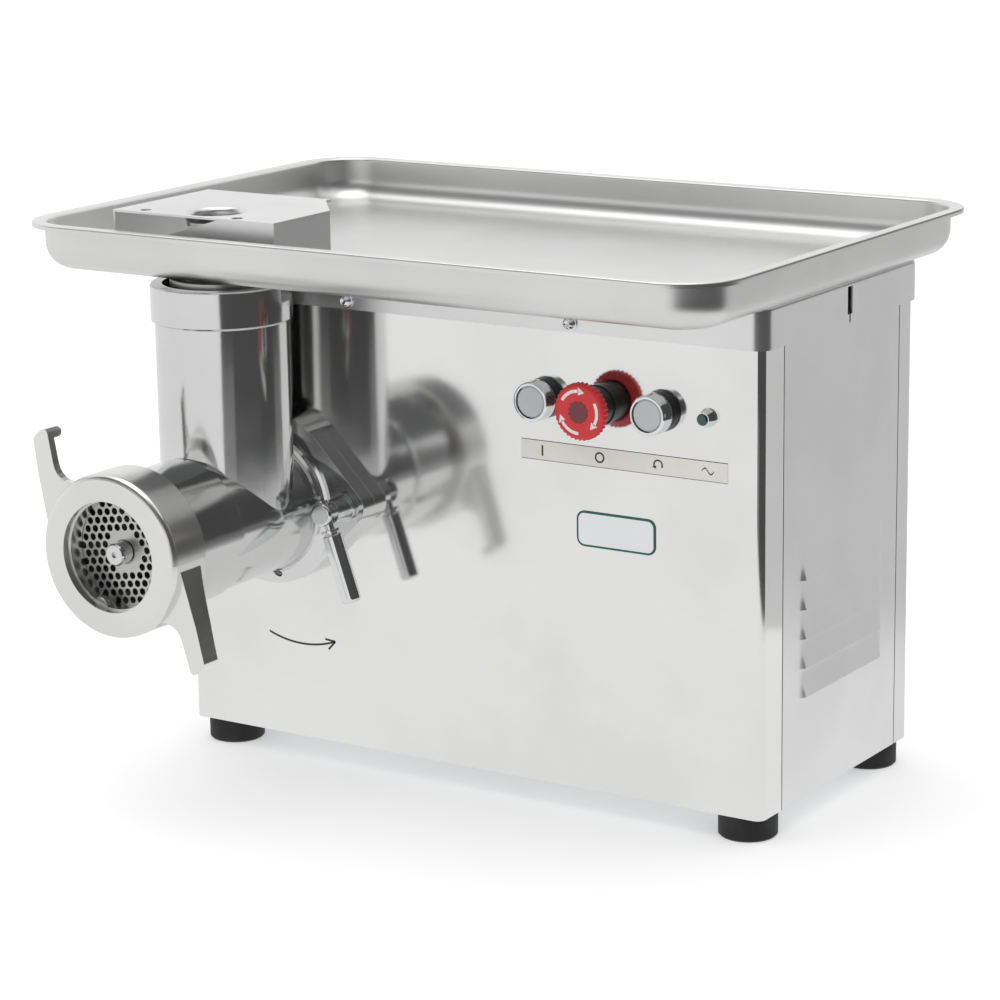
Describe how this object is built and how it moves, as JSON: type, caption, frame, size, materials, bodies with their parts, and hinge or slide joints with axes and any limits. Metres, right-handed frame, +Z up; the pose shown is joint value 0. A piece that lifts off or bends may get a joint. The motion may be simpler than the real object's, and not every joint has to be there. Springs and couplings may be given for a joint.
{
  "type": "electric meat grinder",
  "caption": "Bench-top electric meat grinder: stainless cabinet with controls, cast grinding head with ring nut and clamps, lift-off feed tray.",
  "frame": {"origin": "centre of the overall footprint, on the surface the feet stand on", "axes": "+X along the cabinet's front to the right as the operator faces it, +Y to the rear, +Z up"},
  "size_m": [0.566, 0.472, 0.4127],
  "materials": {
    "stainless": "satin stainless sheet",
    "polished_stainless": "mirror-polished stainless sheet",
    "zinc_sheet": "zinc-plated sheet",
    "screws": "bright plated",
    "black_rubber": "matt moulded rubber",
    "black_plastic": "moulded, fine texture",
    "cast_aluminium": "as cast",
    "machined_steel": "turned and ground",
    "lamination_steel": "varnished laminations",
    "copper": "enamelled copper wire",
    "pale_plastic": "moulded",
    "chrome": "polished",
    "green_lens": "dark green lens",
    "grey_cap": "silver-grey moulded cap",
    "red_plastic": "moulded red",
    "polished_casting": "polished cast stainless steel",
    "satin_casting": "finely ground cast stainless steel",
    "clamp_steel": "turned and polished"
  },
  "bodies": {
    "cabinet": {"front_panel": "polished_stainless", "left_side_panel": "stainless", "right_side_panel": "stainless", "rear_panel": "stainless", "base_plate": "zinc_sheet", "lid": "stainless", "lid_screws": "screws", "front_left_foot": "black_rubber", "front_right_foot": "black_rubber", "rear_left_foot": "black_rubber", "rear_right_foot": "black_rubber", "foot_bolts": "screws", "cable_gland": "black_plastic", "gear_case": "cast_aluminium", "gear_case_cover": "cast_aluminium", "case_bolts": "screws", "output_seal": "black_rubber", "output_front_bearing": "machined_steel", "output_rear_bearing": "machined_steel", "intermediate_front_bearing": "machined_steel", "intermediate_rear_bearing": "machined_steel", "motor_front_shield": "cast_aluminium", "motor_frame": "cast_aluminium", "stator_core": "lamination_steel", "stator_windings": "copper", "motor_rear_shield": "cast_aluminium", "motor_front_bearing": "machined_steel", "motor_rear_bearing": "machined_steel", "fan_cover": "black_plastic", "motor_cradle": "zinc_sheet", "run_capacitor": "pale_plastic", "contactor": "pale_plastic", "button_bezels": "chrome", "button_collars": "black_plastic", "stop_button_collar": "black_plastic", "contact_blocks": "black_plastic", "lamp_bezel": "chrome", "lamp_lens": "green_lens", "head_casting": "polished_casting", "head_studs": "screws", "perforated_plate": "machined_steel", "plate_key": "screws", "thrust_washer": "pale_plastic"},
    "auger": {"auger": "polished_casting", "knife": "machined_steel", "output_shaft": "machined_steel", "output_gear": "machined_steel"},
    "intermediate": {"intermediate_shaft": "machined_steel", "intermediate_gear": "machined_steel"},
    "rotor": {"motor_shaft": "machined_steel", "rotor_core": "lamination_steel", "cooling_fan": "pale_plastic"},
    "start_button": {"start_button": "grey_cap"},
    "reverse_button": {"reverse_button": "grey_cap"},
    "stop_button": {"stop_button": "red_plastic"},
    "ring_nut": {"ring_nut": "satin_casting"},
    "left_clamp": {"left_clamp": "clamp_steel"},
    "right_clamp": {"right_clamp": "clamp_steel"},
    "tray": {"feed_tray": "stainless", "tray_guard": "stainless"}
  },
  "joints": [
    {"name": "rotor_spin", "type": "hinge", "parent": "cabinet", "child": "rotor", "pos_m": [-0.01596, -0.042, 0.13914], "axis": [0, -1, 0], "continuous": true},
    {"name": "intermediate_spin", "type": "hinge", "parent": "cabinet", "child": "intermediate", "pos_m": [-0.06532, -0.042, 0.16764], "axis": [0, -1, 0], "continuous": true},
    {"name": "auger_spin", "type": "hinge", "parent": "cabinet", "child": "auger", "pos_m": [-0.1405, -0.042, 0.195], "axis": [0, -1, 0], "continuous": true},
    {"name": "ring_nut_turn", "type": "hinge", "parent": "cabinet", "child": "ring_nut", "pos_m": [-0.1405, -0.042, 0.195], "axis": [0, -1, 0], "range_deg": [0, 990]},
    {"name": "right_clamp_turn", "type": "hinge", "parent": "cabinet", "child": "right_clamp", "pos_m": [-0.0725, -0.042, 0.2], "axis": [0, -1, 0], "range_deg": [-46, 174]},
    {"name": "left_clamp_turn", "type": "hinge", "parent": "cabinet", "child": "left_clamp", "pos_m": [-0.2085, -0.042, 0.2], "axis": [0, -1, 0], "range_deg": [-174, 46]},
    {"name": "start_press", "type": "slide", "parent": "cabinet", "child": "start_button", "axis": [0, 1, 0], "range_m": [0, 0.004], "stiffness_N_per_m": 300, "springref_m": -0.003},
    {"name": "reverse_press", "type": "slide", "parent": "cabinet", "child": "reverse_button", "axis": [0, 1, 0], "range_m": [0, 0.004], "stiffness_N_per_m": 300, "springref_m": -0.003},
    {"name": "stop_press", "type": "slide", "parent": "cabinet", "child": "stop_button", "axis": [0, 1, 0], "range_m": [0, 0.005]},
    {"name": "tray_lift", "type": "slide", "parent": "cabinet", "child": "tray", "axis": [0, 0, 1], "range_m": [0, 0.06]}
  ],
  "couplings": [
    {"joint": "intermediate_spin", "follows": "rotor_spin", "ratio": -0.31034},
    {"joint": "auger_spin", "follows": "rotor_spin", "ratio": 0.12144}
  ]
}
